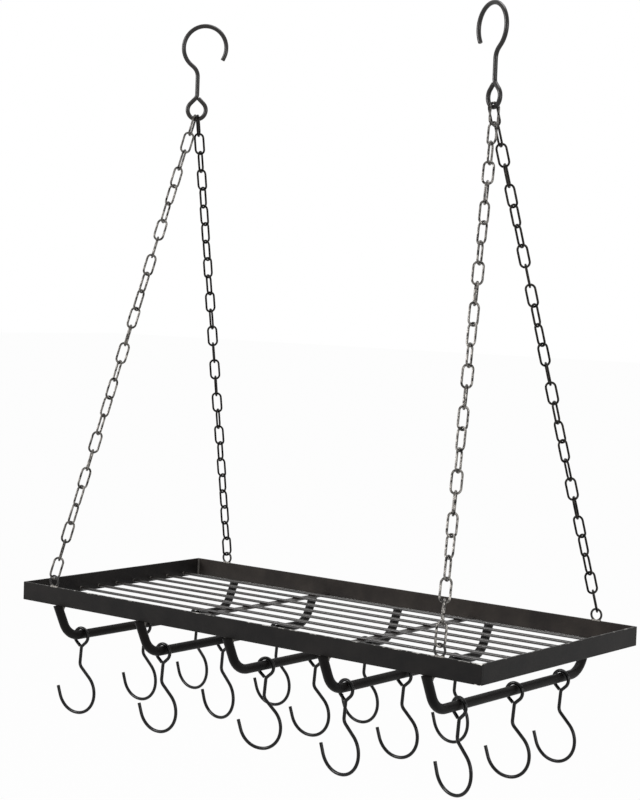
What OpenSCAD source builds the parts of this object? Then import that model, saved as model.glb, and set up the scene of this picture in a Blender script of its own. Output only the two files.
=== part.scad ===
// Hanging pot rack. A rim of flat bar with a grid of round rods hangs from two open ceiling
// hooks on four welded chains, and fifteen loose wire hooks ride on the five round bars under it.
// Millimetres. +X runs along the tray, +Y to its back and +Z up. The origin is where the rack
// is hung: straight above the tray's middle, level with the seats inside the ceiling hooks.

/* [Tray] */
// Length of the tray
tray_l = 768; // [720:1:900]
// Width of the tray, front to back
tray_w = 364; // [330:1:440]
// Height of the flat bar that makes the rim
rail_h = 25; // [20:1:40]
// Thickness of that flat bar
rail_t = 3; // [2.5:0.5:4]
// Diameter of the grid's rods
rod_d = 4; // [3:0.5:6]
// Number of rods, spread evenly over the width
rod_count = 9; // [7:1:11]
// Width of the two strips that carry the rods
strip_w = 12; // [8:1:20]
// Thickness of those strips
strip_t = 3; // [2:0.5:5]

/* [Hook bars] */
// Diameter of the round bars
bar_d = 12.5; // [10:0.5:14]
// Distance from one bar to the next
bar_pitch = 155; // [140:1:160]
// Drop from the rim's underside to a bar's centre
bar_drop = 44.5; // [40:0.5:60]
// Radius of a bar's bends, at its centre line
bar_bend_r = 32; // [20:1:34]
// Lean of a bar's legs from plumb
bar_lean = 25; // [10:1:30]
// How far the top of a leg stands out from the middle of the rim's flat bar
leg_out = 5; // [0:0.5:6]

/* [Pot hooks] */
// Diameter of the wire
hook_d = 4.5; // [4:0.5:5.5]
// How much further out the loop's wire runs than one that hugs the bar
loop_play = 2.9; // [2:0.1:5]
// Turn of the wire between the loop and the shank
neck_turn = 48.5; // [40:0.5:55]
// How far the top of the shank stands off the loop's middle
shank_off = 0.5; // [0:0.1:2.5]
// Lean of the shank from plumb
shank_lean = 4.5; // [0:0.5:8]
// Length of the straight shank
shank_len = 19.5; // [10:0.5:40]
// Heading of the wire below the kink, from plumb
kink_turn = 46.5; // [30:0.5:60]
// Length of the straight run below the kink
run_len = 18.5; // [10:0.5:30]
// Radius of the shoulder between that run and the bowl
shoulder_r = 30; // [20:1:40]
// Radius of the bowl, below the shoulder
bowl_r = 28.8; // [18:0.1:30]
// Radius of the bowl where it rises to the tip
arm_r = 31; // [25:0.5:45]
// Turn of the wire from the bowl's lowest point to the tip
arm_turn = 72; // [50:1:90]
// Length of the straight tip
tip_len = 12.5; // [5:0.5:30]

/* [Chains] */
// Diameter of the wire of a link
link_d = 3; // [2.5:0.5:3.5]
// Outer width of a link
link_w = 15.6; // [14:0.1:18]
// Distance from one link to the next
link_pitch = 26; // [24:0.5:30]
// Number of links in each chain
link_count = 26; // [20:1:32]
// Distance between the eyes of the two ceiling hooks
hang_span = 500; // [420:1:560]

/* [Rail eyes] */
// Diameter of the wire
ring_d = 3; // [2.5:0.5:4]
// Outer width of an eye
ring_w = 18; // [16:0.5:22]
// Height of an eye above the rim
ring_h = 16.6; // [15:0.1:20]
// Distance of an eye from the tray's end
ring_inset = 60; // [40:1:80]

/* [Ceiling hooks] */
// Diameter of the wire
top_d = 6; // [5:0.5:7]
// Radius of the crown, at the wire's centre line
crown_r = 30.5; // [24:0.5:40]
// How far the tip's side reaches round below the crown's middle, in degrees
crown_tip = 27; // [10:1:40]
// Length of the straight tip
top_tip = 3; // [1:0.5:20]
// How far the other side reaches round before it runs to the shank, in degrees
crown_back = 50; // [40:1:60]
// Radius of the bend between the crown and the shank
crown_bend_r = 18; // [12:1:24]
// Length of the straight shank
top_shank = 24.5; // [10:0.5:50]
// Radius of the eye, at the wire's centre line
top_eye_r = 13; // [11:0.5:16]
// Direction in which the left hook opens, from +X
left_yaw = 30; // [-30:1:40]
// Direction in which the right hook opens, from -X
right_yaw = -22; // [-40:1:30]

/* [Hidden] */
$fn = 48;
fit = 0.3;               // play between parts that hang in each other
eye_fit = 0.8;           // play of the first links, which rock on a round eye
ring_fit = 0.5;          // play of the last links in the rail eyes
bend_lap = 0.2;          // how far a bend of wire runs on into the straights before and after it
bend_slim = 0.1;         // how much thinner it is than they are, so that it ends inside them
bevel_share = 7;         // a wire's diameter over the bevel on its ends
weld_r = 2.5;            // radius of the fillet welds in the rim's corners
bar_weld = 5;            // reach of the welds beside a bar's legs
pad_w = 12;              // length of the weld under a rail eye
pad_h = 2;               // height of that weld
neck_r = 5;              // bend between a pot hook's loop and its shank
kink_r = 10;             // bend at the shank's foot
joint_len = 1;           // short straight stretch between two bends of a bowl
top_slope_len = 5;       // straight stretch below a ceiling hook's crown
top_neck_turn = 45;      // turn of the wire above a ceiling hook's eye
top_neck_r = 9;          // radius of that turn
eye_side = 1.8;          // where the two first links sit on an eye, each side of its lowest point
bar_count = 5;
// Where the pot hooks of each bar hang, as a share of the bar's straight half: front, middle, rear
hang_at = [
    [-0.965, -0.09, 0.69], [-0.955, -0.115, 0.71], [-0.74, -0.02, 0.755], [-0.945, -0.095, 0.735],
    [-0.79, 0.06, 0.835]
];
// How far each pot hook is turned on its bar, in degrees
hang_yaw = [[8, 2, -3], [5, -5, 3], [12, 5, 0], [-4, 2, -7], [-12, 3, -2]];
row_names = ["front", "middle", "rear"];
// Each chain: its name, its end and side of the tray, and how far its links turn about it in all
chains = [
    ["front_left", -1, -1, 385],
    ["rear_left", -1, 1, -140],
    ["front_right", 1, -1, 441],
    ["rear_right", 1, 1, -397]
];

rail_y = (tray_w - rail_t) / 2;
rod_z = -rail_h + strip_t + rod_d / 2;
strip_x = tray_l / 6;
bar_z = -rail_h - bar_drop;

ring_r = (ring_w - ring_d) / 2;
ring_x = tray_l / 2 - ring_inset;
ring_top = ring_h - ring_d / 2;

link_r = (link_w - link_d) / 2;
link_in = link_pitch + fit;                // inner length of a link
link_side = link_in + link_d - 2 * link_r; // its straight sides
link_run = link_in + link_d;               // from crown to crown at the wire's centre
eye_reach = (top_d + link_d) / 2 + eye_fit; // from a ceiling hook's eye wire to the first link's crown
ring_reach = (ring_d + link_d) / 2 + ring_fit;  // from a rail eye's wire to the last link's crown
chain_len = (link_count - 1) * link_pitch + link_run - eye_reach - ring_reach;
eye_z = ring_top + sqrt(pow(chain_len, 2) - pow(ring_x - hang_span / 2, 2) - pow(rail_y, 2));

// A wire's place and heading are [x, z, degrees clockwise from +Z]. Each step of its run is
// [length] or [bend radius, turn], and a positive turn is clockwise seen from the front.
function after(p, step) =
    len(step) == 1
        ? [p[0] + step[0] * sin(p[2]), p[1] + step[0] * cos(p[2]), p[2]]
        : let (r = step[0] * sign(step[1]), h = p[2] + step[1])
          [p[0] + r * (cos(p[2]) - cos(h)), p[1] + r * (sin(h) - sin(p[2])), h];

function run_end(p, steps, i = 0) = i == len(steps) ? p : run_end(after(p, steps[i]), steps, i + 1);

// The centre of a bend that starts at p
function bend_centre(p, step) = [p[0], p[1]] + step[0] * sign(step[1]) * [cos(p[2]), -sin(p[2])];

// Length of one step and its first moments, as [length, moment x, moment z]
function step_moment(p, step) =
    len(step) == 1
        ? step[0] * [1, p[0] + step[0] / 2 * sin(p[2]), p[1] + step[0] / 2 * cos(p[2])]
        : let (c = bend_centre(p, step), h = p[2] + step[1], l = step[0] * abs(step[1]) * PI / 180)
          concat(l, l * c + pow(step[0], 2) * [sin(p[2]) - sin(h), cos(p[2]) - cos(h)]);

function run_moment(p, steps, i = 0) =
    i == len(steps) ? [0, 0, 0] : step_moment(p, steps[i]) + run_moment(after(p, steps[i]), steps, i + 1);

// How far a point can go along the heading of p before it is within gap of the point c
function reach(p, c, gap) =
    let (q = [p[0], p[1]] - c, b = q * [sin(p[2]), cos(p[2])]) -b - sqrt(b * b - q * q + gap * gap);

function unit(v) = v / norm(v);

function bevel(d) = d / bevel_share;

// From the middle of a wire to the foot of the bevel on an end that stops against it
function end_gap(d) = d / 2 + fit + bevel(d);

// The bevelled end of a cut wire
module cap(d) {
    cylinder(d1 = d, d2 = d - 2 * bevel(d), h = bevel(d));
}

// Round wire along +Z that follows its steps in the XZ plane, to a bevelled end. A straight step
// comes before and after every bend, and the bend runs on into both, a hair thinner.
module wire(d, steps, i = 0) {
    if (i == len(steps)) {
        cap(d);
    } else if (len(steps[i]) == 1) {
        cylinder(d = d, h = steps[i][0]);
        translate([0, 0, steps[i][0]]) wire(d, steps, i + 1);
    } else {
        r = steps[i][0];
        side = sign(steps[i][1]);
        turn = abs(steps[i][1]);
        lap = bend_lap / r * 180 / PI;
        translate([side * r, 0, 0]) mirror([side > 0 ? 1 : 0, 0, 0]) rotate([90, lap, 0])
            rotate_extrude(angle = turn + 2 * lap) translate([r, 0]) circle(d = d - bend_slim);
        translate([side * r * (1 - cos(turn)), 0, r * sin(turn)])
            rotate([0, side * turn, 0]) wire(d, steps, i + 1);
    }
}

// The same wire from a place and heading, with both ends bevelled
module wire_run(d, p, steps) {
    translate([p[0], 0, p[1]]) rotate([0, p[2], 0]) {
        rotate([180, 0, 0]) cap(d);
        wire(d, steps);
    }
}

// Concave fillet in the corner of two faces along +Z, open towards +X and +Y
module fillet(r, h) {
    linear_extrude(h) difference() {
        square(r);
        translate([r, r]) circle(r);
    }
}

module long_rail(side) {
    color("#2f2d2c") translate([-tray_l / 2, side * rail_y - rail_t / 2, -rail_h])
        cube([tray_l, rail_t, rail_h]);
}

module short_rail(side) {
    inner = tray_w / 2 - rail_t;
    color("#2f2d2c") mirror([side > 0 ? 1 : 0, 0, 0]) translate([-tray_l / 2, 0, -rail_h]) {
        translate([0, -inner, 0]) cube([rail_t, 2 * inner, rail_h]);
        for (end = [0, 1]) mirror([0, end, 0]) translate([rail_t, -inner, 0]) fillet(weld_r, rail_h);
    }
}

module rod(i) {
    color("#2b2928") translate([rail_t - tray_l / 2, tray_w * (i / (rod_count + 1) - 0.5), rod_z])
        rotate([0, 90, 0]) cylinder(d = rod_d, h = tray_l - 2 * rail_t);
}

module strip(side) {
    color("#2b2928") translate([side * strip_x - strip_w / 2, rail_t - tray_w / 2, -rail_h])
        cube([strip_w, tray_w - 2 * rail_t, strip_t]);
}

bar_turn = 90 - bar_lean;
leg_rise = bar_drop - bar_bend_r * (1 - cos(bar_turn));
leg_y = rail_y + leg_out;                  // where a leg meets the level of the rim's underside
bar_half = leg_y - bar_bend_r * sin(bar_turn) - leg_rise * tan(bar_lean);
leg_over = bar_d;

function bar_x(i) = (i - (bar_count + 1) / 2) * bar_pitch;

// The weld beside a leg, under the rim
module leg_weld() {
    inset = bar_d / 6;
    rotate([90, 0, 0]) translate([bar_d / 2, 0, -rail_t / 2]) mirror([0, 1, 0]) linear_extrude(rail_t)
        difference() {
            translate([-2 * inset, 0]) square([bar_weld + inset, bar_weld]);
            translate([bar_weld - inset, bar_weld]) circle(bar_weld);
        }
}

module hook_bar(i) {
    leg = leg_rise / cos(bar_lean) + leg_over;
    start = [-leg_y - leg_over * sin(bar_lean), -rail_h + leg_over * cos(bar_lean), 180 - bar_lean];
    bend = [bar_bend_r, -bar_turn];
    color("#2b2928") translate([bar_x(i), 0, 0]) {
        difference() {
            rotate([0, 0, 90]) translate([start[0], 0, start[1]]) rotate([0, start[2], 0])
                wire(bar_d, [[leg], bend, [2 * bar_half], bend, [leg]]);
            translate([-bar_d, -tray_w, -rail_h]) cube([2 * bar_d, 2 * tray_w, 4 * bar_d]);
        }
        for (y = [-rail_y, rail_y], side = [0, 1])
            translate([0, y, -rail_h]) mirror([side, 0, 0]) leg_weld();
    }
}

// A pot hook about the centre of its bar: the loop rests on the bar, one way round it to the
// bowl and the other way round to the end that stops against the neck
loop_r = (bar_d + hook_d) / 2 + loop_play;
loop_top = (bar_d + hook_d) / 2 + fit;
loop_arc = 90 + neck_turn;
neck_shift = neck_r * (cos(shank_lean) - cos(neck_turn)); // how far sideways its bend goes
loop_out = (loop_r * cos(neck_turn) - shank_off - neck_shift) / sin(neck_turn);
neck_bend = [neck_r, shank_lean - neck_turn];
neck_centre = bend_centre(run_end([0, loop_top, 90], [[loop_r, loop_arc], [loop_out]]), neck_bend);
loop_foot = after([0, loop_top, -90], [loop_r, -loop_arc]); // the arc's end near the wire's end
end_len = reach(loop_foot, neck_centre, neck_r + end_gap(hook_d));
end_at = after(loop_foot, [end_len]);
hook_start = [end_at[0], end_at[1], end_at[2] + 180];
hook_steps = [
    [end_len], [loop_r, 2 * loop_arc], [loop_out], neck_bend, [shank_len],
    [kink_r, -shank_lean - kink_turn], [run_len],
    [shoulder_r, kink_turn], [joint_len], [bowl_r, 90], [joint_len], [arm_r, arm_turn], [tip_len]
];
hook_moment = run_moment(hook_start, hook_steps);
hook_lean = atan2(hook_moment[1], -hook_moment[2]); // brings the hook's weight straight below its bar

module pot_hook(i, row) {
    color("#262423") translate([bar_x(i), hang_at[i - 1][row] * bar_half, bar_z])
        rotate([0, hook_lean, hang_yaw[i - 1][row]]) wire_run(hook_d, hook_start, hook_steps);
}

// A rail eye: a ring sunk into a weld on the rim
module rail_eye(c) {
    pad_r = (pow(pad_w / 2, 2) + pow(pad_h, 2)) / (2 * pad_h);
    color("#2b2928") translate([c[1] * ring_x, c[2] * rail_y, 0]) difference() {
        union() {
            translate([0, 0, ring_top - ring_r]) rotate([90, 0, 0])
                rotate_extrude() translate([ring_r, 0]) circle(d = ring_d);
            translate([0, 0, pad_h - pad_r]) rotate([90, 0, 0])
                cylinder(r = pad_r, h = rail_t, center = true);
        }
        translate([-tray_w, -tray_w, -2 * tray_w]) cube(2 * tray_w);
    }
}

// One link about its middle, along Z and wide along X
module link() {
    for (up = [0, 180]) rotate([0, up, 0]) {
        translate([0, 0, link_side / 2]) rotate([90, 0, 0])
            rotate_extrude(angle = 180) translate([link_r, 0]) circle(d = link_d);
        translate([link_r, 0, -link_side / 2]) cylinder(d = link_d, h = link_side);
    }
}

function eye_yaw(c) = c[1] < 0 ? left_yaw : right_yaw;

// Crowns of a chain's first and last link. The chains of one ceiling hook sit side by side on
// its eye, the front one further out, and each hangs square to the wire there.
function chain_ends(c) =
    let (
        eye = [c[1] * hang_span / 2, 0, eye_z],
        ring = [c[1] * ring_x, c[2] * rail_y, ring_top],
        down = unit(ring - eye),
        along = [cos(eye_yaw(c)), sin(eye_yaw(c)), 0],
        side = -c[1] * c[2] * eye_side + eye_reach * (down * along),
        rise = top_eye_r - sqrt(pow(top_eye_r, 2) - side * side)
    )
    [eye + side * along + [0, 0, rise] - eye_reach * down, ring + ring_reach * down];

// Links first to last of a chain, counted from 0 at the ceiling hook
module chain_links(c, first, last) {
    ends = chain_ends(c);
    up = unit(ends[0] - ends[1]);
    pitch = (norm(ends[0] - ends[1]) - link_run) / (link_count - 1);
    azimuth = atan2(up[1], up[0]);
    for (i = [first:last])
        translate(ends[0] - up * (link_run / 2 + i * pitch))
            rotate([0, acos(up[2]), azimuth])
                rotate([0, 0, eye_yaw(c) + 90 - azimuth + i * (90 + c[3] / (link_count - 1))])
                    link();
}

module first_link(c) {
    color("#33302e") chain_links(c, 0, 0);
}

module chain(c) {
    color("#33302e") chain_links(c, 1, link_count - 2);
}

module last_link(c) {
    color("#33302e") chain_links(c, link_count - 1, link_count - 1);
}

// A ceiling hook about the top of its crown, opening towards +X: from the tip over the crown,
// down the shank and round the eye to the end that stops against the neck
crown_tip_at = run_end([0, 0, 90], [[crown_r, 90 + crown_tip], [top_tip]]);
top_start = [crown_tip_at[0], crown_tip_at[1], crown_tip_at[2] + 180];
shank_steps = [
    [top_tip], [crown_r, -180 - crown_tip - crown_back], [top_slope_len],
    [crown_bend_r, crown_back], [top_shank]
];
top_neck = [top_neck_r, top_neck_turn];
eye_lead = top_eye_r - top_neck_r * tan(top_neck_turn / 2);
eye_steps = concat(shank_steps, [top_neck, [eye_lead], [top_eye_r, -180 - 2 * top_neck_turn]]);
top_neck_at = run_end(top_start, shank_steps);
eye_end = run_end(top_start, eye_steps);
eye_end_len = reach(eye_end, bend_centre(top_neck_at, top_neck), top_neck_r + end_gap(top_d));
eye_low = eye_end[1] - top_eye_r * (1 + cos(top_neck_turn));
seat_z = eye_z - eye_low - top_d / 2;

module ceiling_hook(side) {
    yaw = side < 0 ? left_yaw : 180 + right_yaw;
    color("#262423") translate([side * hang_span / 2, 0, eye_z - eye_low]) rotate([0, 0, yaw])
        translate([-top_neck_at[0], 0, 0]) wire_run(top_d, top_start, concat(eye_steps, [[eye_end_len]]));
}

translate([0, 0, -seat_z]) {
    long_rail(-1);  // rail_front
    long_rail(1);  // rail_rear
    short_rail(-1);  // rail_left
    short_rail(1);  // rail_right
    strip(-1);  // strip_left
    strip(1);  // strip_right
    for (i = [1:rod_count]) rod(i);
    for (i = [1:bar_count]) hook_bar(i);
    for (c = chains) {
        rail_eye(c);
        first_link(c);
        chain(c);
        last_link(c);
    }
    for (i = [1:bar_count], row = [0:2])
        pot_hook(i, row);
    ceiling_hook(-1);  // ceiling_hook_left
    ceiling_hook(1);  // ceiling_hook_right
}
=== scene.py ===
# Hanging pot rack: a rimmed tray of round rods, hung by four chains from two ceiling hooks, with
# loose pot hooks riding on the round bars under it. Metres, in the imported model's frame: +X along
# the tray, +Y to its back, +Z up, measured from the point where the rack hangs.
import bpy
import numpy as np
from mathutils import Matrix


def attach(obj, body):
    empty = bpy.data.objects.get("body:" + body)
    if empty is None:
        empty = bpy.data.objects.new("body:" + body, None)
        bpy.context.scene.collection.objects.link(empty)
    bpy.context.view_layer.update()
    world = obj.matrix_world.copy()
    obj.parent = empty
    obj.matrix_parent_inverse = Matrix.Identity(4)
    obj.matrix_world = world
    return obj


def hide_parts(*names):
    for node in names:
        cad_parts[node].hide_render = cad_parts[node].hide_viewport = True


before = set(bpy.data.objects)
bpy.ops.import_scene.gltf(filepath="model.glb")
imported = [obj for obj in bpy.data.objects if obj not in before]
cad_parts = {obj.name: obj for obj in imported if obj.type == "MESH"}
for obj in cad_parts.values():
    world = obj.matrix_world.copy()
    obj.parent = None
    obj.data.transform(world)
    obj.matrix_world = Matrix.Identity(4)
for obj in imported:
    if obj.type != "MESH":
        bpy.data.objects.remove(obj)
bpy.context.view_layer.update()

# --- Rim ---------------------------------------------------------------------------------------
# Four lengths of flat steel bar set on edge: the two long ones run right through, and the two
# short ones are butted between them and welded. The whole tray has a satin black powder coat,
# chipped at its corners. Its top edges are painted pale, a painted highlight for the light they
# catch at a grazing angle, and the rear bar's coat is painted lighter, painted light for the light
# on its inner face.
mm = 0.001
rim_top = -784.073 * mm
tray_l = 768 * mm
tray_w = 364 * mm
rim_h = 25 * mm
rim_t = 3 * mm
rim_edge_r = 0.45 * mm


def tone(red, green, blue):
    """A colour given from 0 to 255, as the shader's linear one: each value to the power 2.2."""
    return tuple((np.array([red, green, blue]) / 255) ** 2.2) + (1.0,)


def add_node(tree, kind, **settings):
    """Adds a shader node and sets its named inputs and properties."""
    made = tree.nodes.new(kind)
    for name, value in settings.items():
        socket = made.inputs.get(name.replace("_", " "))
        if socket is not None and not hasattr(made, name):
            socket.default_value = value
        else:
            setattr(made, name, value)
    return made


def sockets(group, takes, gives):
    """Names a node group's inputs, as {name: value}, and its outputs, all plain numbers."""
    for name, value in takes.items():
        made = group.interface.new_socket(name, in_out="INPUT", socket_type="NodeSocketFloat")
        made.default_value = value
    for name in gives:
        group.interface.new_socket(name, in_out="OUTPUT", socket_type="NodeSocketFloat")
    return group.nodes.new("NodeGroupInput").outputs, group.nodes.new("NodeGroupOutput").inputs


def coat_grain_group():
    """The skin of a baked coat. Grain is its fine orange peel and Drift the slow change from
    thick to thin coat, each a noise in space."""
    group = bpy.data.node_groups.new("coat grain", "ShaderNodeTree")
    takes, gives = sockets(group, {"Peel": 900.0, "Flow": 30.0}, ("Grain", "Drift"))
    place = add_node(group, "ShaderNodeTexCoord").outputs["Object"]
    peel = add_node(group, "ShaderNodeTexNoise", Detail=3.0, Roughness=0.6)
    flow = add_node(group, "ShaderNodeTexNoise", Detail=4.0, Roughness=0.55)
    links = group.links
    for noise in (peel, flow):
        links.new(place, noise.inputs["Vector"])
    links.new(takes["Peel"], peel.inputs["Scale"])
    links.new(takes["Flow"], flow.inputs["Scale"])
    links.new(peel.outputs["Fac"], gives["Grain"])
    links.new(flow.outputs["Fac"], gives["Drift"])
    return group


def wear_and_highlight_mask_group():
    """Where the coat is worn through, and where the rim's top faces are painted pale as a painted
    highlight. The mesh says how exposed each place is, from 0 to 1, and a noise breaks that up:
    the mask goes from 0 to 1 while share * exposed + noise goes from start - Wear to ramp above it."""
    share, start, ramp = 0.62, 1.45, 0.22
    group = bpy.data.node_groups.new("rubbed edge", "ShaderNodeTree")
    takes, gives = sockets(group, {"Patch": 160.0, "Wear": 0.5}, ("Mask",))
    exposed = add_node(group, "ShaderNodeAttribute", attribute_name="exposed")
    place = add_node(group, "ShaderNodeTexCoord").outputs["Object"]
    patch = add_node(group, "ShaderNodeTexNoise", Detail=5.0, Roughness=0.7)
    level = add_node(group, "ShaderNodeMath", operation="MULTIPLY_ADD")
    limit = add_node(group, "ShaderNodeMath", operation="SUBTRACT")
    limit.inputs[0].default_value = start
    step = add_node(group, "ShaderNodeMapRange", To_Min=0.0, To_Max=1.0)
    top = add_node(group, "ShaderNodeMath", operation="ADD")
    top.inputs[1].default_value = ramp
    links = group.links
    links.new(place, patch.inputs["Vector"])
    links.new(takes["Patch"], patch.inputs["Scale"])
    links.new(exposed.outputs["Fac"], level.inputs[0])
    level.inputs[1].default_value = share
    links.new(patch.outputs["Fac"], level.inputs[2])
    links.new(takes["Wear"], limit.inputs[1])
    links.new(limit.outputs[0], step.inputs["From Min"])
    links.new(limit.outputs[0], top.inputs[0])
    links.new(top.outputs[0], step.inputs["From Max"])
    links.new(level.outputs[0], step.inputs["Value"])
    links.new(step.outputs["Result"], gives["Mask"])
    return group


coat_grain = coat_grain_group()
wear_and_highlight_mask = wear_and_highlight_mask_group()


def metal_with_skin(name, peel, flow, smoothest, roughest, bump, depth):
    """Starts a metal whose roughness and normal follow the grain of its coat's skin. Returns the
    material, its nodes, its shader and its skin."""
    made = bpy.data.materials.new(name)
    made.use_nodes = True
    tree = made.node_tree
    links = tree.links
    shader = tree.nodes["Principled BSDF"]
    skin = add_node(tree, "ShaderNodeGroup", node_tree=coat_grain)
    skin.inputs["Peel"].default_value = peel
    skin.inputs["Flow"].default_value = flow
    rough = add_node(tree, "ShaderNodeMapRange", From_Min=0.3, From_Max=0.7,
                     To_Min=smoothest, To_Max=roughest)
    height = add_node(tree, "ShaderNodeBump", Strength=bump, Distance=depth)
    links.new(skin.outputs["Grain"], rough.inputs["Value"])
    links.new(rough.outputs["Result"], shader.inputs["Roughness"])
    links.new(skin.outputs["Grain"], height.inputs["Height"])
    links.new(height.outputs["Normal"], shader.inputs["Normal"])
    return made, tree, shader, skin


def coated(name, coat, thin_coat, bare, roughness, peel=900.0, bump=0.12, wear=0.5, patch=160.0,
           gloss=0.22, steel=0.55):
    """A coated metal. Its colour runs from coat to thin_coat with the coat's slow drift, and to
    bare where the edge is worn through and where the rim's top faces get their painted highlight,
    which is also more metallic."""
    made, tree, shader, skin = metal_with_skin(name, peel, 30.0, roughness - 0.05,
                                               roughness + 0.08, bump, 0.4 * mm)
    links = tree.links
    shader.inputs["Specular IOR Level"].default_value = gloss
    edge = add_node(tree, "ShaderNodeGroup", node_tree=wear_and_highlight_mask)
    edge.inputs["Patch"].default_value = patch
    edge.inputs["Wear"].default_value = wear
    colour = add_node(tree, "ShaderNodeMix", data_type="RGBA")
    colour.inputs["A"].default_value = coat
    colour.inputs["B"].default_value = thin_coat
    worn_and_highlit = add_node(tree, "ShaderNodeMix", data_type="RGBA")
    worn_and_highlit.inputs["B"].default_value = bare
    even = add_node(tree, "ShaderNodeMapRange", From_Min=0.32, From_Max=0.68)
    metal = add_node(tree, "ShaderNodeMath", operation="MULTIPLY")
    metal.inputs[1].default_value = steel
    links.new(skin.outputs["Drift"], even.inputs["Value"])
    links.new(even.outputs["Result"], colour.inputs["Factor"])
    links.new(colour.outputs["Result"], worn_and_highlit.inputs["A"])
    links.new(edge.outputs["Mask"], worn_and_highlit.inputs["Factor"])
    links.new(worn_and_highlit.outputs["Result"], shader.inputs["Base Color"])
    links.new(edge.outputs["Mask"], metal.inputs[0])
    links.new(metal.outputs[0], shader.inputs["Metallic"])
    return made


def piece(name, grids, exposed, material, body, stands_for=(), closed=False):
    """Puts grids of points into one mesh. A grid is (copy, row, place round the row, xyz): each
    row is joined to the next by four-sided faces, and the end rows are closed by a flat face,
    unless the run is closed and comes back to its first row. exposed is how open to rubbing each
    point is. The piece then rides on its body and stands for the CAD nodes named."""
    sharp_angle = 0.7
    copies, rows, around = grids.shape[:3]
    point = np.arange(copies * rows * around).reshape(copies, rows, around)
    near = point if closed else point[:, :-1]
    far = np.roll(point, -1, 1) if closed else point[:, 1:]
    quads = np.stack([near, np.roll(near, -1, 2), np.roll(far, -1, 2), far], -1)
    faces = quads.reshape(-1, 4).tolist()
    if not closed:
        faces += point[:, 0, ::-1].tolist() + point[:, -1].tolist()
    mesh = bpy.data.meshes.new(name)
    mesh.from_pydata(grids.reshape(-1, 3), [], faces)
    mesh.shade_smooth()
    mesh.set_sharp_from_angle(angle=sharp_angle)
    layer = mesh.attributes.new("exposed", "FLOAT", "POINT")
    values = np.broadcast_to(exposed, grids.shape[:3]).astype(float)
    layer.data.foreach_set("value", values.ravel())
    mesh.materials.append(material)
    made = bpy.data.objects.new(name, mesh)
    bpy.context.scene.collection.objects.link(made)
    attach(made, body)
    if stands_for:
        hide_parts(*stands_for)
    return made


def flat_bar(length, thick, high, edge_r):
    """A flat bar along +X, centred on the origin: a rectangle with quarter-round corners carried
    along a straight line, its end rows drawn in by the same radius. More rows stand close to the
    ends, where a chip can show, and each face has a point a little off each edge, where its
    wear fades out. Returns the grid and which of its points can be rubbed: 1 on the rounded edges
    and the top, plain_wear on the end rows, else 0."""
    near_end = np.linspace(0.6, 12, 20) * mm
    off_edge = 1.2 * mm
    along = np.concatenate([[0, 0.3 * edge_r, edge_r], edge_r + near_end])
    drawn_in = np.concatenate([[edge_r, 0.3 * edge_r], np.zeros(len(near_end) + 1)])
    x = np.concatenate([along - length / 2, (length / 2 - along)[::-1]])[:, None, None]
    inset = np.concatenate([drawn_in, drawn_in[::-1]])[:, None, None]
    end = (inset[:, :, 0] > 0) * 1.0
    sign_y = np.array([1, -1, -1, 1])[None, :, None]
    sign_z = np.array([1, 1, -1, -1])[None, :, None]
    angle = np.radians(90 * np.arange(4)[:, None] + np.linspace(0, 90, 5))[None]
    half_y = thick / 2 - inset
    half_z = high / 2 - inset
    arc_y = sign_y * (half_y - edge_r) + edge_r * np.cos(angle)
    arc_z = sign_z * (half_z - edge_r) + edge_r * np.sin(angle)
    back = np.minimum(off_edge, (np.array([thick, high]) / 2 - edge_r) * 0.55)
    side_y = sign_y * half_y
    side_z = sign_z * (half_z - edge_r - back[1])
    top_y = sign_y * (half_y - edge_r - back[0])
    top_z = sign_z * half_z
    even = (np.arange(4) % 2 == 0)[None, :, None]
    before = np.where(even, side_y, top_y), np.where(even, side_z, top_z)
    after = np.where(even, top_y, side_y), np.where(even, top_z, side_z)
    y = np.concatenate([before[0], arc_y, after[0]], 2)
    z = np.concatenate([before[1], arc_z, after[1]], 2)
    grid = np.stack(np.broadcast_arrays(x, y, z), -1).reshape(len(x), -1, 3)
    corner = np.tile([0, 1, 1, 1, 1, 1, 0.0], 4)[None, :]
    on_top = slice(6, 8)
    corner[:, on_top] = 1
    return grid, np.maximum(plain_wear * end, corner)


def quarter_turn(grid):
    """Turns a grid a quarter turn about +Z, so that what ran along X runs along Y."""
    return np.stack([-grid[..., 1], grid[..., 0], grid[..., 2]], -1)


# How open to rubbing a plain edge is, from 0 to 1, and how much paler the rim's right end is
# painted, a painted highlight, from where along it and over which length
plain_wear = 0.3
right_end_highlight = 0.16
right_from = 290 * mm
right_over = 70 * mm
# Where the coat is chipped to bright steel at the near corner: the place, from the middle of the
# rim's top, and the size of each chip, in millimetres
chips = ((383.4, -182, -0.1, 1.3), (383.5, -182, -24.9, 1.5), (376.5, -182, -25, 2.0))


def wear_and_highlight(grid, edge, top):
    """How open to rubbing a point of the rim is, with its painted highlight in the same value. It
    is plain_wear on an edge, or top along the top, a painted highlight, and more towards the right
    end, also painted highlight, plus exp(-(d / w)^2) for each chip of size w at a distance d. The
    flat ends stay plain."""
    on_top = grid[..., 2] > rim_top - 0.5 * mm
    open_to = np.where(on_top, top, plain_wear)
    open_to = open_to + right_end_highlight * np.clip((grid[..., 0] - right_from) / right_over, 0, 1)
    for x, y, z, size in chips:
        chip = np.array([x * mm, y * mm, rim_top + z * mm])
        away = np.linalg.norm(grid - chip, axis=-1) / (size * mm)
        open_to = open_to + np.exp(-away ** 2)
    open_to[[0, -1]] = plain_wear
    return edge * open_to


# The rim coat's pale colour is bare steel at the chips and a painted highlight along the top faces.
rim_coat = coated("rim powder coat", tone(22, 21, 21), tone(32, 30, 29), tone(205, 202, 197),
                  0.46, wear=0.52, patch=90.0, gloss=0.13)
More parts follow.
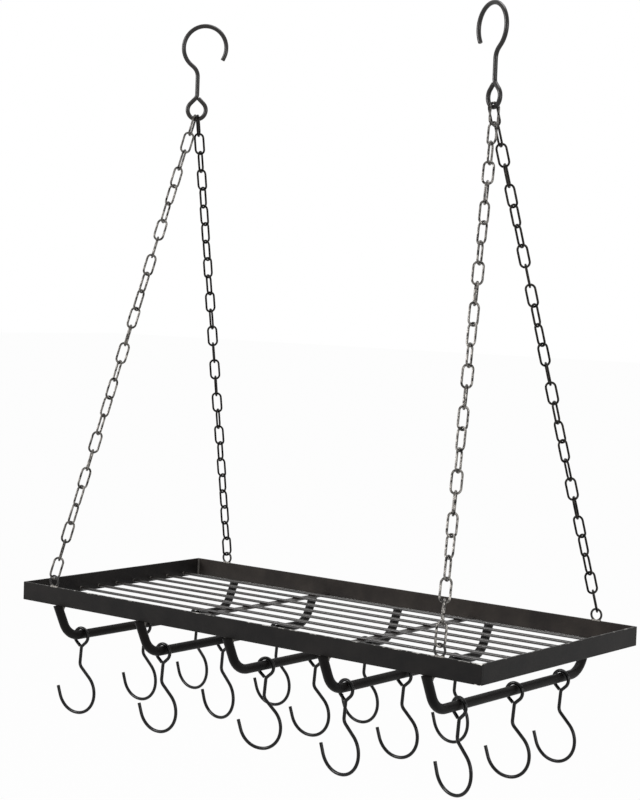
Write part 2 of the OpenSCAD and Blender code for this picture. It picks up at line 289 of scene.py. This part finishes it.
# The rear bar's coat is a lighter copy of the rim's, painted light for the light that falls on its
# inner face.
rear_coat_painted_lighter = coated("rear rim powder coat", tone(37, 34, 33), tone(50, 46, 43), tone(120, 116, 110),
                   0.5, wear=0.4, patch=90.0, gloss=0.13)
rim_z = rim_top - rim_h / 2

# top is how pale each bar's top face is painted: a painted highlight for the light it catches at a
# grazing angle, strongest on the front bar.
for name, side, top in (("front", -1, 0.62), ("rear", 1, 0.36)):
    grid, edge = flat_bar(tray_l, rim_t, rim_h, rim_edge_r)
    grid += [0, side * (tray_w - rim_t) / 2, rim_z]
    coat = rim_coat if side < 0 else rear_coat_painted_lighter
    piece("rim_" + name, grid[None], wear_and_highlight(grid, edge, top), coat, "tray", ["rail_" + name])

# top is again the painted highlight along each end bar's top face.
for name, side, top in (("left", -1, 0.4), ("right", 1, 0.45)):
    grid, edge = flat_bar(tray_w - 2 * rim_t, rim_t, rim_h, rim_edge_r)
    grid = quarter_turn(grid) + [side * (tray_l - rim_t) / 2, 0, rim_z]
    piece("rim_" + name, grid[None], wear_and_highlight(grid, edge, top), rim_coat, "tray", ["rail_" + name])

# --- Corner welds ------------------------------------------------------------------------------
# A run of weld up each inside corner of the rim, coated over and paler than the bars. Its
# ripples are a pass of overlapping pools.
corner_bead_r = 2.3 * mm
bead_short = 0.3 * mm
bead_sunk = 0.3 * mm
ripple = 1.7 * mm


def corner_bead(x_side, y_side):
    """A quarter-round bead up a corner: radius r(z) = R (0.86 + 0.14 |sin(pi z / ripple)|) from
    the corner's own line, over the quarter that faces into the tray, closed through the steel.
    R varies by a twentieth up the corner."""
    z = np.linspace(-rim_h + bead_short, -bead_short, 57)[:, None]
    swell = corner_bead_r * (0.86 + 0.14 * np.abs(np.sin(np.pi * z / ripple)))
    swell = swell * (1 + 0.05 * np.sin(z * 900 + x_side + 2 * y_side))
    angle = np.radians(np.linspace(0, 90, 8))[None, :]
    out_x = np.concatenate([swell * np.cos(angle), np.full_like(z, -bead_sunk)], 1)
    out_y = np.concatenate([swell * np.sin(angle), np.full_like(z, -bead_sunk)], 1)
    x = x_side * (tray_l / 2 - rim_t - out_x)
    y = y_side * (tray_w / 2 - rim_t - out_y)
    grid = np.stack(np.broadcast_arrays(x, y, rim_top + z), -1)
    return grid if x_side * y_side > 0 else grid[:, ::-1]


weld_coat = coated("weld under the coat", tone(58, 56, 54), tone(84, 81, 77), tone(150, 146, 140),
                   0.4, bump=0.3, wear=0.5)
corner_grids = np.stack([corner_bead(x, y) for x in (-1, 1) for y in (-1, 1)])
piece("corner_welds", corner_grids, 0.25, weld_coat, "tray")

# --- Strips ------------------------------------------------------------------------------------
# Two flat strips across the tray, a third of the way in from each end, level with the rim's
# lower edge. They carry the rods.
strip_w = 12 * mm
strip_t = 3 * mm
strip_edge_r = 0.5 * mm
strip_x = tray_l / 6
strip_z = rim_top - rim_h + strip_t / 2

# The rods' and strips' coat is painted a little lighter than the rim's, a painted highlight for the
# sheen along the rods.
grid_coat = coated("grid powder coat", tone(34, 32, 31), tone(50, 47, 45), tone(120, 116, 112),
                   0.3, wear=0.38, gloss=0.5)
for name, side in (("left", -1), ("right", 1)):
    grid, edge = flat_bar(tray_w - 2 * rim_t, strip_w, strip_t, strip_edge_r)
    grid = quarter_turn(grid) + [side * strip_x, 0, strip_z]
    piece("support_strip_" + name, grid[None], 0.5 * edge, grid_coat, "tray", ["strip_" + name])

# --- Rods --------------------------------------------------------------------------------------
# Nine straight round rods from end to end of the tray, evenly spaced, butted against the short
# bars and lying on the strips, with a small weld at every end and crossing.
rod_d = 4 * mm
rod_count = 9
rod_half = tray_l / 2 - rim_t
rod_z = rim_top - rim_h + strip_t + rod_d / 2
rod_y = tray_w * (np.arange(1, rod_count + 1) / (rod_count + 1) - 0.5)


def wire_skin(centre, along, across, radius, around=16):
    """Round wire: a point is the wire's centre plus radius times (cos a across + sin a third),
    where third completes the right-handed set with across and the direction along the wire."""
    third = np.cross(along, across)
    angle = np.linspace(0, 2 * np.pi, around, endpoint=False)
    ring = (np.cos(angle)[:, None] * across[..., None, :]
            + np.sin(angle)[:, None] * third[..., None, :])
    return centre[..., None, :] + radius[..., None, None] * ring


for i, y in enumerate(rod_y):
    x = np.linspace(-rod_half, rod_half, 33)
    centre = np.stack(np.broadcast_arrays(x, y, rod_z), -1)
    along = np.broadcast_to([1.0, 0, 0], centre.shape)
    across = np.broadcast_to([0.0, 1, 0], centre.shape)
    grid = wire_skin(centre, along, across, np.full(len(x), rod_d / 2))
    piece(f"grid_rod_{i + 1}", grid[None], 0.1, grid_coat, "tray", [f"rod_{i + 1}"])


# The half sizes of the lumps of weld at the rods' ends and at their crossings with the strips,
# and how far the second kind stands from the middle of its crossing
end_weld = np.array([1.2, 2.7, 2.4]) * mm
crossing_weld = np.array([1.8, 1.1, 0.9]) * mm
crossing_off = np.array([4, 1.3, 0.5]) * mm


def weld_blobs(centres, size, turn):
    """Small lumps of weld: each point is centre + size * (sin v cos u, sin v sin u, cos v), made
    uneven by 1 + 0.12 sin(3u + turn) sin(2v + turn)."""
    u = np.linspace(0, 2 * np.pi, 12, endpoint=False)[None, None, :]
    pole = 0.06
    v = np.linspace(pole, np.pi - pole, 9)[None, ::-1, None]
    turn = turn[:, None, None]
    uneven = 1 + 0.12 * np.sin(3 * u + turn) * np.sin(2 * v + turn)
    shape = np.broadcast_arrays(np.sin(v) * np.cos(u), np.sin(v) * np.sin(u), np.cos(v))
    shape = np.stack(shape, -1)
    return centres[:, None, None, :] + size * uneven[..., None] * shape


ends = np.array([[side * rod_half, y, rod_z] for side in (-1, 1) for y in rod_y])
crossings = np.array([[side * strip_x + step * crossing_off[0], y + crossing_off[1],
                       rod_z - rod_d / 2 + crossing_off[2]]
                      for side in (-1, 1) for step in (-1, 1) for y in rod_y])
for name, spots, size, turn in (("rod_end_welds", ends, end_weld, 1.7),
                                ("rod_crossing_welds", crossings, crossing_weld, 2.3)):
    grids = weld_blobs(spots, size, np.arange(len(spots)) * turn)
    piece(name, grids, 0.2, weld_coat, "tray")

# --- Hook bars ---------------------------------------------------------------------------------
# Five bars of heavy round steel across the rack, bent down at both ends. Their legs lean outwards
# to the rim and are welded under it. The pot hooks ride on them.
bar_d = 12.5 * mm
bar_pitch = 155 * mm
bar_drop = 44.5 * mm
bar_bend_r = 32 * mm
bar_lean = 25
leg_out = 5 * mm
rim_y = (tray_w - rim_t) / 2
bar_turn = 90 - bar_lean
leg_rise = bar_drop - bar_bend_r * (1 - np.cos(np.radians(bar_turn)))
leg_len = leg_rise / np.cos(np.radians(bar_lean))
leg_y = rim_y + leg_out
leg_run = leg_rise * np.tan(np.radians(bar_lean))
bar_half = leg_y - bar_bend_r * np.sin(np.radians(bar_turn)) - leg_run
bar_x = bar_pitch * np.arange(-2, 3)
bar_z = rim_top - rim_h - bar_drop


def bent_wire(place, steps, per_turn=5.0, stretch=12 * mm):
    """The centre line of wire bent in a plane. place is (sideways, up, heading in degrees
    clockwise from up), and a step is (length,) or (bend radius, turn in degrees): a straight is
    p + s (sin h, cos h), and a bend p + r ((cos h0 - cos h), (sin h - sin h0)). Returns the
    points' sideways and up places and headings."""
    side, up, head = place
    sides, ups, heads = [], [], []
    for step in steps:
        if len(step) == 1:
            s = np.linspace(0, step[0], max(2, int(step[0] / stretch) + 1))
            h = np.full(len(s), head)
            a, b = side + s * np.sin(np.radians(head)), up + s * np.cos(np.radians(head))
        else:
            h = head + np.linspace(0, step[1], max(4, int(abs(step[1]) / per_turn) + 1))
            r, h0, h1 = step[0] * np.sign(step[1]), np.radians(head), np.radians(h)
            a, b = side + r * (np.cos(h0) - np.cos(h1)), up + r * (np.sin(h1) - np.sin(h0))
        keep = slice(0 if not sides else 1, None)
        sides.append(a[keep])
        ups.append(b[keep])
        heads.append(h[keep])
        side, up, head = a[-1], b[-1], h[-1]
    return np.concatenate(sides), np.concatenate(ups), np.radians(np.concatenate(heads))


bar_coat = coated("bar powder coat", tone(16, 15, 15), tone(24, 22, 21), tone(110, 106, 102),
                  0.44, wear=0.3, gloss=0.09)
bend = (bar_bend_r, -bar_turn)
y, z, head = bent_wire((-leg_y, -rim_h, 180 - bar_lean),
                       [(leg_len,), bend, (2 * bar_half,), bend, (leg_len,)])
for i, x in enumerate(bar_x):
    centre = np.stack(np.broadcast_arrays(x, y, rim_top + z), -1)
    along = np.stack([np.zeros_like(head), np.sin(head), np.cos(head)], -1)
    across = np.broadcast_to([1.0, 0, 0], centre.shape)
    grid = wire_skin(centre, along, across, np.full(len(y), bar_d / 2), 28)
    for row in (0, -1):        # each end is cut level, flat against the rim's underside
        over = (grid[row, :, 2:] - (rim_top - rim_h)) / along[row, 2]
        grid[row] -= over * along[row]
    piece(f"bar_{i + 1}", grid[None], 0.1, bar_coat, "tray", [f"hook_bar_{i + 1}"])

# --- Bar welds ---------------------------------------------------------------------------------
# The weld on each side of a leg, hollow-faced, in the corner between the leg and the underside
# of the rim.
leg_bead = 5 * mm
leg_bead_w = 1.9 * mm


def leg_welds():
    """Each bead is a hollow quarter-round fillet of radius R(y) between the leg and the rim, with
    R(y) = R sqrt(1 - (y / w)^2) (1 + 0.1 sin 2600 y): widest under the rim's middle, and closed
    inside the leg."""
    w = leg_bead_w
    into_leg, into_rim = 0.8 * mm, 0.05 * mm
    y = np.linspace(-0.96 * w, 0.96 * w, 13)[:, None]
    reach = leg_bead * np.sqrt(1 - (y / w) ** 2) * (1 + 0.1 * np.sin(2600 * y))
    angle = np.radians(np.linspace(0, 90, 9))[None, :]
    out = np.concatenate([reach * (1 - np.sin(angle)), np.full_like(y, -into_leg)], 1)
    down = np.concatenate([reach * (1 - np.cos(angle)), np.full_like(y, -into_rim)], 1)
    grids = []
    for x in bar_x:
        for end in (-1, 1):
            for side in (-1, 1):
                px = x + side * (bar_d / 2 + out)
                pz = rim_top - rim_h - down
                grid = np.stack(np.broadcast_arrays(px, end * rim_y + y, pz), -1)
                grids.append(grid if side > 0 else grid[:, ::-1])
    return np.stack(grids)


piece("bar_welds", leg_welds(), 0.3, weld_coat, "tray")

# --- Rail eyes ---------------------------------------------------------------------------------
# Four rings of wire stood on the rim near its corners, sunk into a mound of weld on its top edge.
# The chains end in them.
eye_wire = 3 * mm
eye_ring_r = 7.5 * mm
eye_x = tray_l / 2 - 60 * mm
eye_middle = rim_top + 7.6 * mm
eye_half_turn = 152
eye_coat = coated("eye powder coat", tone(30, 29, 29), tone(42, 40, 38), tone(120, 116, 110),
                  0.34, wear=0.34, gloss=0.3)
corners = {"front_left": (-1, -1), "rear_left": (-1, 1),
           "front_right": (1, -1), "rear_right": (1, 1)}
round_angle = np.radians(np.linspace(-eye_half_turn, eye_half_turn, 61))
for name, (x_side, y_side) in corners.items():
    x = x_side * eye_x + eye_ring_r * np.sin(round_angle)
    z = eye_middle + eye_ring_r * np.cos(round_angle)
    centre = np.stack(np.broadcast_arrays(x, y_side * rim_y, z), -1)
    along = np.stack([np.cos(round_angle), np.zeros_like(round_angle), -np.sin(round_angle)], -1)
    across = np.broadcast_to([0.0, 1, 0], centre.shape)
    grid = wire_skin(centre, along, across, np.full(len(centre), eye_wire / 2), 14)
    piece("eye_" + name, grid[None], 0.2, eye_coat, "tray", ["rail_eye_" + name])


mound_off = 4.2 * mm
mound_size = np.array([3.1, 1.9, 2.9]) * mm
middle_size = np.array([3.8, 1.7, 1.4]) * mm
mound_sunk = 0.2 * mm
mound_foot = 0.6 * mm


def eye_mounds():
    """A mound each side of a ring's foot and a low one between them, each a lump of weld whose
    lower half is cut off flat inside the rim."""
    spots = np.array([(x * eye_x + step * mound_off, y * rim_y, rim_top - mound_sunk)
                      for x, y in corners.values() for step in (-1, 0, 1)])[:, None, None, :]
    size = np.tile([mound_size, middle_size, mound_size], (len(corners), 1))
    lump = weld_blobs(np.zeros((len(size), 3)), np.ones(3), np.arange(len(size)) * 1.9)
    grids = spots + size[:, None, None, :] * lump
    grids[..., 2] = np.maximum(grids[..., 2], rim_top - mound_foot)
    return grids


eye_weld_coat = coated("eye weld", tone(108, 105, 101), tone(146, 142, 136), tone(190, 186, 180),
                       0.36, bump=0.35, wear=0.55)
piece("eye_welds", eye_mounds(), 0.35, eye_weld_coat, "tray")

# --- Chains ------------------------------------------------------------------------------------
# Four chains of 26 long welded links, thinly blacked. Each link's wire is butted and welded in
# the middle of one side, which leaves a dark nick with a little swelling each side of it.
link_wire = 3 * mm
link_bend_r = 6.3 * mm
link_straight = 16.7 * mm
link_run = link_straight + 2 * link_bend_r
link_count = 26
# How far each ceiling hook's eye is turned about the upright, in degrees
hook_turn = {"left": 30.0, "right": -22.0}
# The middle of the wire at a chain's top and bottom crown, in millimetres from the rim's top,
# and how far its links turn about it from first to last
chain_lines = {
    "front_left": ((-252.030, -0.083, 662.020), (-324.386, -181.442, 11.751), 385),
    "rear_left": ((-247.677, -0.423, 661.820), (-324.386, 181.442, 11.751), -140),
    "front_right": ((252.082, 0.349, 661.987), (324.386, -181.442, 11.751), 441),
    "rear_right": ((247.753, -0.755, 661.788), (324.386, 181.442, 11.751), -397),
}


def link_outline():
    """One link's centre line in its own plane, as (across, along) and the directions of its wire,
    going round two straight sides and two half circles. The points crowd at the weld. The last
    list is each point's place from the weld along its side, or 1 m where the weld is far off."""
    half = link_straight / 2
    one_side = np.array([0.02, 0.05, 0.085, 0.13, 0.32, 1])
    weld = np.concatenate([-one_side[::-1], one_side]) * half
    plain = np.linspace(half, -half, 4)
    a = np.radians(np.linspace(0, 180, 12))[1:-1]
    r = link_bend_r
    across = np.concatenate([np.full(len(weld), r), r * np.cos(a),
                             np.full(len(plain), -r), -r * np.cos(a)])
    along = np.concatenate([weld, half + r * np.sin(a), plain, -half - r * np.sin(a)])
    go_across = np.concatenate([np.zeros(len(weld)), -np.sin(a), np.zeros(len(plain)), np.sin(a)])
    go_along = np.concatenate([np.ones(len(weld)), np.cos(a), -np.ones(len(plain)), -np.cos(a)])
    nick = np.concatenate([weld, np.full(2 * len(a) + len(plain), 1.0)])
    return across, along, go_across, go_along, nick


def links_of_chain(name, first, last):
    """Grids of the links from first to last: link i stands i pitches down the chain's line and is
    turned about it by i (90 + total / 25) degrees from the ceiling hook's eye. The wire is
    thinner in the weld's nick and swollen each side of it, by exp(-(s / w)^2) at s mm from it."""
    top, bottom, total = chain_lines[name]
    top = np.array(top) * mm + [0, 0, rim_top]
    bottom = np.array(bottom) * mm + [0, 0, rim_top]
    line = top - bottom
    up = line / np.linalg.norm(line)
    pitch = (np.linalg.norm(line) - link_run) / (link_count - 1)
    i = np.arange(first, last + 1)[:, None]
    middle = top - up * (link_run / 2 + i * pitch)
    azimuth = np.arctan2(up[1], up[0])
    tilt = np.arccos(up[2])
    lean = np.array([np.cos(azimuth) * np.cos(tilt), np.sin(azimuth) * np.cos(tilt),
                     -np.sin(tilt)])
    level = np.array([-np.sin(azimuth), np.cos(azimuth), 0])
    yaw = hook_turn[name.split("_")[1]]
    turn = np.radians(yaw + 90 + i * (90 + total / (link_count - 1))) - azimuth
    wide = np.cos(turn) * lean + np.sin(turn) * level
    face = -np.sin(turn) * lean + np.cos(turn) * level
    across, along, go_across, go_along, nick = link_outline()
    centre = middle[:, None] + across[:, None] * wide[:, None] + along[:, None] * up
    heading = go_across[:, None] * wide[:, None] + go_along[:, None] * up
    s = nick / mm
    thinned = 0.13 * np.exp(-(s / 0.22) ** 2)
    swollen = 0.04 * np.exp(-((np.abs(s) - 0.9) / 0.5) ** 2)
    burnt = np.exp(-(s / 0.35) ** 2)
    radius = np.broadcast_to(link_wire / 2 * (1 - thinned + swollen), (len(i), len(s)))
    grids = wire_skin(centre, heading, np.broadcast_to(face[:, None], centre.shape), radius, 10)
    return grids, np.broadcast_to(burnt[None, :, None], grids.shape[:3])


def chain_finish(name, dark, light, roughness):
    """Thinly blacked steel: metallic, its colour running from dark to light in small patches, which
    are partly uneven blacking and partly painted highlight, and nearly black in the nick of the
    weld."""
    made, tree, shader, skin = metal_with_skin(name, 1400.0, 210.0, roughness - 0.06,
                                               roughness + 0.1, 0.12, 0.3 * mm)
    links = tree.links
    shader.inputs["Metallic"].default_value = 0.85
    patches = add_node(tree, "ShaderNodeMapRange", From_Min=0.38, From_Max=0.64)
    colour = add_node(tree, "ShaderNodeMix", data_type="RGBA")
    colour.inputs["A"].default_value = dark
    colour.inputs["B"].default_value = light
    nick = add_node(tree, "ShaderNodeAttribute", attribute_name="exposed")
    burnt = add_node(tree, "ShaderNodeMix", data_type="RGBA")
    burnt.inputs["B"].default_value = tone(12, 11, 11)
    links.new(skin.outputs["Drift"], patches.inputs["Value"])
    links.new(patches.outputs["Result"], colour.inputs["Factor"])
    links.new(colour.outputs["Result"], burnt.inputs["A"])
    links.new(nick.outputs["Fac"], burnt.inputs["Factor"])
    links.new(burnt.outputs["Result"], shader.inputs["Base Color"])
    return made


# Each chain's darkest and lightest colour and its roughness. The chains are alike: the front
# ones are painted lighter with painted highlight, the rear ones darker, a painted shade
chain_looks_painted_light = {
    "front_left": (tone(30, 29, 27), tone(112, 109, 105), 0.26),
    "rear_left": (tone(9, 8, 8), tone(32, 29, 26), 0.32),
    "front_right": (tone(34, 33, 32), tone(128, 125, 121), 0.25),
    "rear_right": (tone(14, 13, 12), tone(44, 41, 38), 0.32),
}
top_link_body = {"left": "left_top_links", "right": "right_chains"}
for name, look in chain_looks_painted_light.items():
    metal = chain_finish("chain black, " + name.replace("_", " "), *look)
    end = name.split("_")[1]
    for part, first, last, body in (("first_link_", 0, 0, top_link_body[end]),
                                    ("chain_", 1, link_count - 2, end + "_chains"),
                                    ("last_link_", link_count - 1, link_count - 1, "tray")):
        grids, nick = links_of_chain(name, first, last)
        piece("metal_" + part + name, grids, nick, metal, body, [part + name],
              closed=True)

# --- Pot hooks ---------------------------------------------------------------------------------
# Fifteen hooks of black wire. The top is wound loosely round its bar to a closed loop, the shank
# drops from it, kinks aside and swings round in an open bowl to a bare cut tip.
hook_wire = 4.5 * mm
hook_bevel = 0.6 * mm
# The wire's cut end under the bar, and its straights and bends from there: the loop's tail, turn
# and lead, the neck, the shank, the kink, the run, the shoulder, the bowl, the arm and the tip,
# with a millimetre of straight wire each side of the bowl
hook_start = (-1.9147 * mm, -16.1272 * mm, -48.5)
hook_steps = [(7.52937 * mm,), (11.4 * mm, 277), (7.18652 * mm,), (5 * mm, -44),
              (19.5 * mm,), (10 * mm, -51), (18.5 * mm,), (30 * mm, 46.5), (1 * mm,),
              (28.8 * mm, 90), (1 * mm,), (31 * mm, 72), (12.5 * mm,)]
# How far a hook turns, in degrees, until its weight hangs straight under its bar
hook_lean = 0.183439
# Where the hooks of each bar hang, as a share of its straight half, front, middle and rear, and
# how far each is turned, in degrees
hook_places = [(-0.965, -0.09, 0.69), (-0.955, -0.115, 0.71), (-0.74, -0.02, 0.755),
               (-0.945, -0.095, 0.735), (-0.79, 0.06, 0.835)]
hook_turns = [(8, 2, -3), (5, -5, 3), (12, 5, 0), (-4, 2, -7), (-12, 3, -2)]


def bevelled_wire(place, steps, wire, bevel, per_turn, stretch, around):
    """The skin of a bent wire in the XZ plane, with a small round bevel at both cut ends: there
    the radius is r - b + b sin a while the wire's centre goes on by b cos a. Returns the grid and
    how open to rubbing it is, 1 on the bevels and little elsewhere."""
    x, z, head = bent_wire(place, steps, per_turn, stretch)
    a = np.radians(np.linspace(0, 90, 5))[:-1]
    out = bevel * np.cos(a)[:, None]
    draw = bevel * (1 - np.sin(a))
    before = [x[0], z[0]] - out * [np.sin(head[0]), np.cos(head[0])]
    after = [x[-1], z[-1]] + out[::-1] * [np.sin(head[-1]), np.cos(head[-1])]
    line = np.concatenate([before, np.stack([x, z], -1), after])
    heads = np.concatenate([np.full(len(a), head[0]), head, np.full(len(a), head[-1])])
    radius = wire / 2 - np.concatenate([draw, np.zeros(len(x)), draw[::-1]])
    centre = np.stack([line[:, 0], np.zeros(len(line)), line[:, 1]], -1)
    along = np.stack([np.sin(heads), np.zeros(len(heads)), np.cos(heads)], -1)
    across = np.broadcast_to([0.0, 1, 0], centre.shape)
    exposed = np.concatenate([np.ones(len(a)), np.full(len(x), 0.12), np.ones(len(a))])
    return wire_skin(centre, along, across, radius, around), np.repeat(exposed[:, None], around, 1)


def turned(grid, lean, yaw):
    """Turns a grid by lean degrees about +Y and then by yaw degrees about +Z."""
    both = Matrix.Rotation(np.radians(yaw), 3, "Z") @ Matrix.Rotation(np.radians(lean), 3, "Y")
    return grid @ np.array(both).T


hook_coat = coated("pot hook black", tone(6, 6, 6), tone(12, 11, 11), tone(140, 136, 130),
                   0.18, peel=1500.0, bump=0.05, wear=0.34, gloss=0.24)
hook_grid, hook_exposed = bevelled_wire(hook_start, hook_steps, hook_wire, hook_bevel,
                                        per_turn=5.0, stretch=3 * mm, around=18)
for i, (places, turns) in enumerate(zip(hook_places, hook_turns)):
    for row, share, yaw in zip(("front", "middle", "rear"), places, turns):
        name = f"pot_hook_{i + 1}_{row}"
        grid = turned(hook_grid, hook_lean, yaw) + [bar_x[i], share * bar_half, bar_z]
        piece(f"wire_hook_{i + 1}_{row}", grid[None], hook_exposed, hook_coat, name, [name])

# --- Ceiling hooks -----------------------------------------------------------------------------
# Two heavier hooks that the rack hangs from: an open crown, a shank set under its middle by a
# double bend, and an eye wound shut at the foot. The chains' first links hang in the eye.
top_wire = 6 * mm
top_bevel = 0.8 * mm
# The wire's open end, and its straights and bends from there: the tip, the crown, the bend back
# under it, the shank, the neck, and the eye with its lead and tail
top_start = (25.8137 * mm, -47.0197 * mm, 387)
top_steps = [(3 * mm,), (30.5 * mm, -257), (5 * mm,), (18 * mm, 50), (24.5 * mm,), (9 * mm, 45),
             (9.27208 * mm,), (13 * mm, -270), (9.38204 * mm,)]
hang_span = 500 * mm
crown_top = top_wire / 2
neck_off = 9.34498 * mm
# The right hook is turned half round as well, so that its crown opens the other way
half_round = {"left": 0, "right": 180}

top_coat = coated("ceiling hook black", tone(22, 21, 20), tone(34, 31, 29), tone(120, 116, 110),
                  0.26, wear=0.34, gloss=0.35)
top_grid, top_exposed = bevelled_wire(top_start, top_steps, top_wire, top_bevel,
                                      per_turn=4.0, stretch=4 * mm, around=22)
for name, side in (("left", -1), ("right", 1)):
    grid = turned(top_grid + [neck_off, 0, 0], 0, hook_turn[name] + half_round[name])
    grid = grid + [side * hang_span / 2, 0, crown_top]
    piece("top_hook_" + name, grid[None], top_exposed, top_coat, "ceiling_hooks",
          ["ceiling_hook_" + name])

# --- Studio ------------------------------------------------------------------------------------
# A pale floor well below the rack, a white backdrop all round, soft lamps and the camera, which
# stands where the photograph was taken from.
floor_z = -1.9
floor_half = 40
floor_mesh = bpy.data.meshes.new("floor")
floor_corners = [(x * floor_half, y * floor_half, floor_z)
                 for x, y in ((-1, -1), (1, -1), (1, 1), (-1, 1))]
floor_mesh.from_pydata(floor_corners, [], [(0, 1, 2, 3)])
floor = bpy.data.objects.new("floor", floor_mesh)
bpy.context.scene.collection.objects.link(floor)


def seen_ray(tree):
    """1 for the rays of the camera, of mirror-like metal and of glass, and 0 for light's own."""
    ray = add_node(tree, "ShaderNodeLightPath")
    seen = add_node(tree, "ShaderNodeMath", operation="MAXIMUM")
    seen_or_passed = add_node(tree, "ShaderNodeMath", operation="MAXIMUM")
    tree.links.new(ray.outputs["Is Camera Ray"], seen.inputs[0])
    tree.links.new(ray.outputs["Is Glossy Ray"], seen.inputs[1])
    tree.links.new(seen.outputs[0], seen_or_passed.inputs[0])
    tree.links.new(ray.outputs["Is Transmission Ray"], seen_or_passed.inputs[1])
    return seen_or_passed.outputs[0]


# The floor is mostly lit from within where it is seen, so that it is white and keeps a faint
# shadow of the rack
floor_glow = 0.96
room_light = 0.55
pale = bpy.data.materials.new("pale floor")
pale.use_nodes = True
ground = pale.node_tree
plain_floor = ground.nodes["Principled BSDF"]
plain_floor.inputs["Base Color"].default_value = (0.9, 0.9, 0.9, 1)
plain_floor.inputs["Roughness"].default_value = 0.9
glow = add_node(ground, "ShaderNodeEmission", Color=(1, 1, 1, 1), Strength=1.0)
share = add_node(ground, "ShaderNodeMath", operation="MULTIPLY")
share.inputs[1].default_value = floor_glow
surface = add_node(ground, "ShaderNodeMixShader")
ground.links.new(seen_ray(ground), share.inputs[0])
ground.links.new(share.outputs[0], surface.inputs["Fac"])
ground.links.new(plain_floor.outputs[0], surface.inputs[1])
ground.links.new(glow.outputs[0], surface.inputs[2])
ground.links.new(surface.outputs[0], ground.nodes["Material Output"].inputs["Surface"])
floor_mesh.materials.append(pale)

world = bpy.data.worlds.new("studio")
bpy.context.scene.world = world
world.use_nodes = True
sky = world.node_tree
for old in list(sky.nodes):
    sky.nodes.remove(old)
room = add_node(sky, "ShaderNodeBackground", Color=(1, 1, 1, 1), Strength=room_light)
white = add_node(sky, "ShaderNodeBackground", Color=(1, 1, 1, 1), Strength=1.0)
backdrop = add_node(sky, "ShaderNodeMixShader")
out = add_node(sky, "ShaderNodeOutputWorld")
sky.links.new(seen_ray(sky), backdrop.inputs["Fac"])
sky.links.new(room.outputs[0], backdrop.inputs[1])
sky.links.new(white.outputs[0], backdrop.inputs[2])
sky.links.new(backdrop.outputs[0], out.inputs["Surface"])


def soft_lamp(name, place, aim, size, power):
    """A square soft lamp at place that points at aim."""
    lamp = bpy.data.lights.new(name, "AREA")
    lamp.size = size
    lamp.energy = power
    made = bpy.data.objects.new(name, lamp)
    back = np.array(place, float) - np.array(aim, float)
    back /= np.linalg.norm(back)
    level = np.cross([0, 0, 1.0], back)
    level /= np.linalg.norm(level)
    pose = np.eye(4)
    pose[:3, :3] = np.stack([level, np.cross(back, level), back], 1)
    pose[:3, 3] = place
    made.matrix_world = Matrix(pose.tolist())
    bpy.context.scene.collection.objects.link(made)


tray_middle = (0, 0, -0.8)
soft_lamp("key lamp", (-1.6, -2.4, 0.6), tray_middle, 1.1, 60)
soft_lamp("fill lamp", (2.6, -0.8, -0.2), tray_middle, 1.2, 24)
soft_lamp("top lamp", (0.2, 0.3, 1.6), tray_middle, 1.2, 25)

# The camera fitted to the photograph: its turn from +Y, its lift, its roll, its place and its
# focal length in pixels of a picture 800 high
view_turn = np.radians(-38.39)
view_lift = np.radians(-3.35)
view_roll = np.radians(1.98)
view_place = [1.5372, -1.9526, 0.4201 + rim_top]
focal_pixels = 1855.4
picture_high = 800
ahead = np.array([np.sin(view_turn) * np.cos(view_lift), np.cos(view_turn) * np.cos(view_lift),
                  np.sin(view_lift)])
level = np.array([np.cos(view_turn), -np.sin(view_turn), 0])
lift = np.cross(level, ahead)
right = np.cos(view_roll) * level + np.sin(view_roll) * lift
over = -np.sin(view_roll) * level + np.cos(view_roll) * lift
pose = np.eye(4)
pose[:3, :3] = np.stack([right, over, -ahead], 1)
pose[:3, 3] = view_place
lens = bpy.data.cameras.new("camera")
lens.sensor_fit = "VERTICAL"
lens.sensor_height = 36
lens.lens = focal_pixels / picture_high * lens.sensor_height
camera = bpy.data.objects.new("camera", lens)
camera.matrix_world = Matrix(pose.tolist())
bpy.context.scene.collection.objects.link(camera)
bpy.context.scene.camera = camera
bpy.context.scene.view_settings.view_transform = "Standard"
